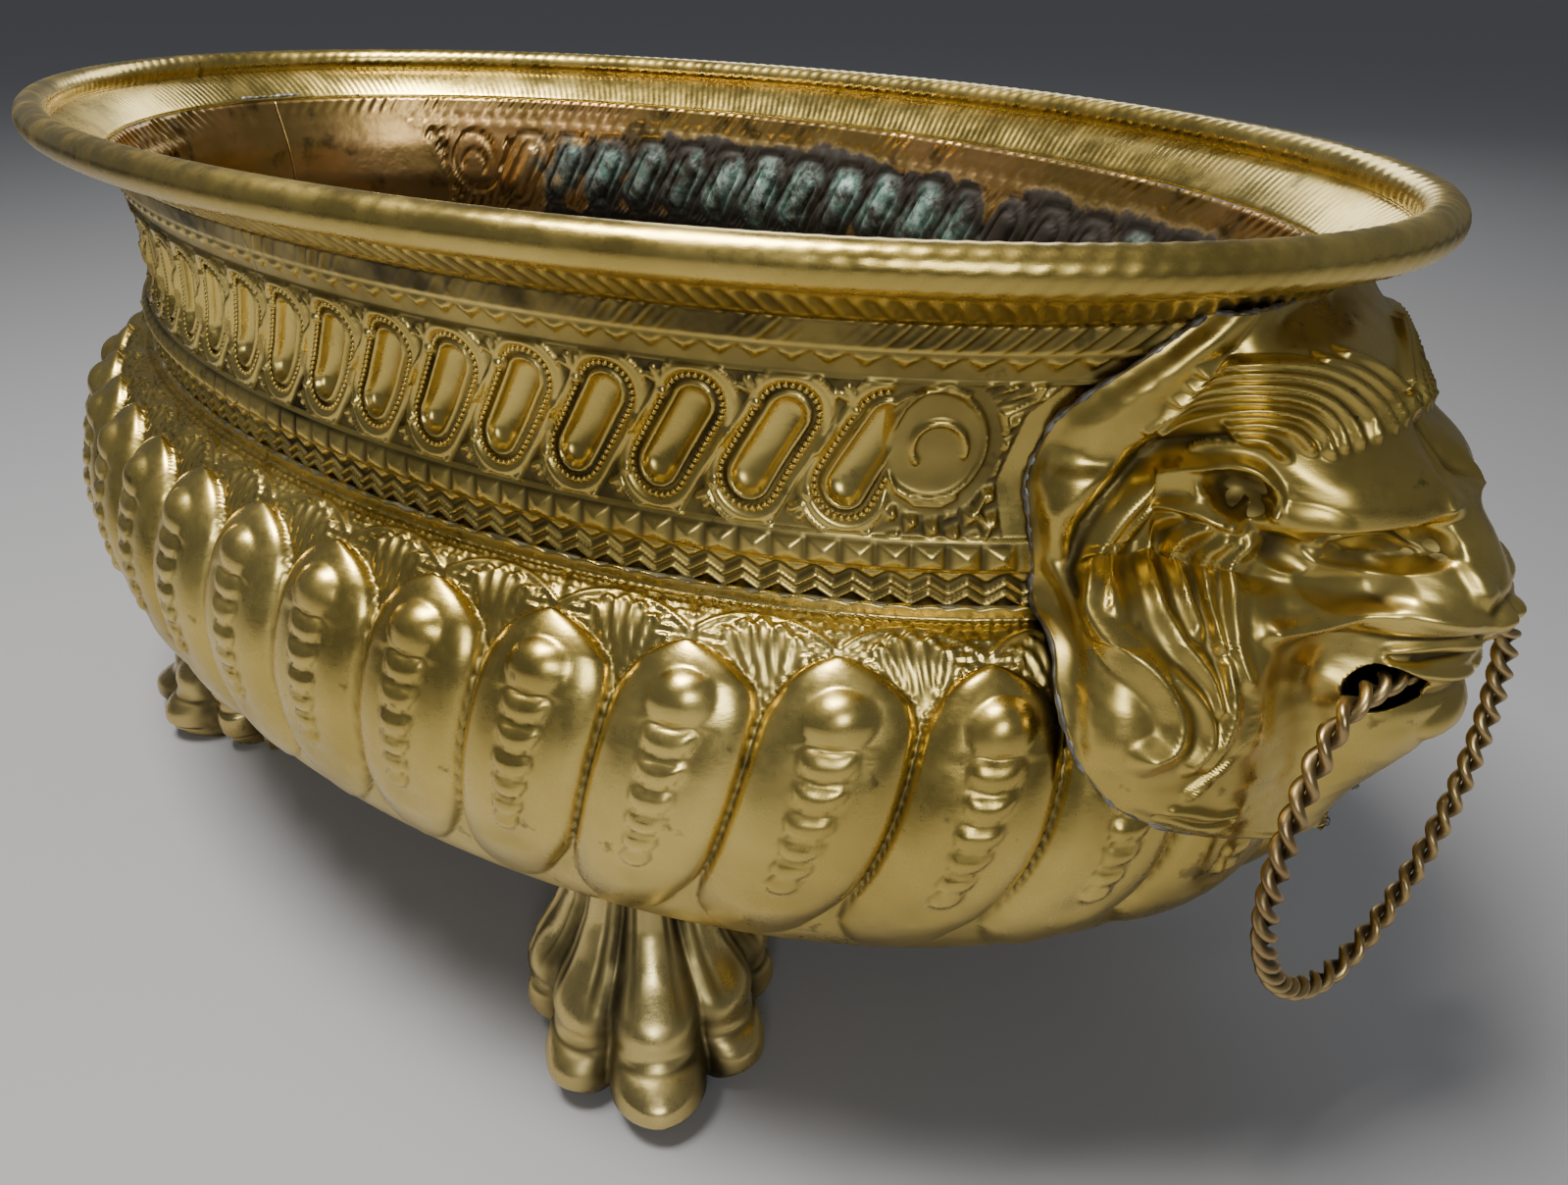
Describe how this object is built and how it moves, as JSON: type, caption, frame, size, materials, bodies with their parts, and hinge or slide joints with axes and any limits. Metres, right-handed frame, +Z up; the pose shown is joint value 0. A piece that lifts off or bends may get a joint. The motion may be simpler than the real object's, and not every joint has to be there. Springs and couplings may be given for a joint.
{
  "type": "oval brass planter pot",
  "caption": "Oval footed brass jardiniere with a gadrooned bowl, embossed neck, wired rim, lion masks and swinging twisted-wire handles.",
  "frame": {"origin": "on the floor under the middle of the bowl", "axes": "+Z up, +X along the long axis towards the right lion, -Y towards the decorated front"},
  "size_m": [0.698, 0.393, 0.2891],
  "materials": {
    "polished_brass": "hand polished sheet, softly worn, with brown stains and hammer marks",
    "embossed_brass": "embossed sheet, darker in its grooves",
    "cast_brass": "polished casting with grey residue in its grooves",
    "antique_brass": "brown antique brass wire, bright on its high spots",
    "brass_fixings": "dull tarnished brass",
    "iron_wire": "plain iron wire, hidden inside the rim",
    "grey_solder": "dull grey soft solder along the masks' edges"
  },
  "bodies": {
    "jardiniere": {"gadrooned_bowl": "polished_brass", "front_neck_strip": "embossed_brass", "back_neck_strip": "embossed_brass", "rim_flange": "polished_brass", "rim_wire": "iron_wire", "right_lion_mask": "polished_brass", "left_lion_mask": "polished_brass", "front_right_paw_foot": "cast_brass", "front_right_foot_stud": "brass_fixings", "front_right_foot_washer": "brass_fixings", "front_right_foot_nut": "brass_fixings", "front_left_paw_foot": "cast_brass", "front_left_foot_stud": "brass_fixings", "front_left_foot_washer": "brass_fixings", "front_left_foot_nut": "brass_fixings", "back_right_paw_foot": "cast_brass", "back_right_foot_stud": "brass_fixings", "back_right_foot_washer": "brass_fixings", "back_right_foot_nut": "brass_fixings", "back_left_paw_foot": "cast_brass", "back_left_foot_stud": "brass_fixings", "back_left_foot_washer": "brass_fixings", "back_left_foot_nut": "brass_fixings"},
    "right_bail": {"right_bail_strand_a": "antique_brass", "right_bail_strand_b": "antique_brass"},
    "left_bail": {"left_bail_strand_a": "antique_brass", "left_bail_strand_b": "antique_brass"}
  },
  "joints": [
    {"name": "right_bail_swing", "type": "hinge", "parent": "jardiniere", "child": "right_bail", "pos_m": [0.33, 0, 0.179], "axis": [-0.2079, -0.9781, 0], "range_deg": [-2, 150]},
    {"name": "left_bail_swing", "type": "hinge", "parent": "jardiniere", "child": "left_bail", "pos_m": [-0.33, 0, 0.179], "axis": [0.2079, 0.9781, 0], "range_deg": [-2, 150]}
  ]
}
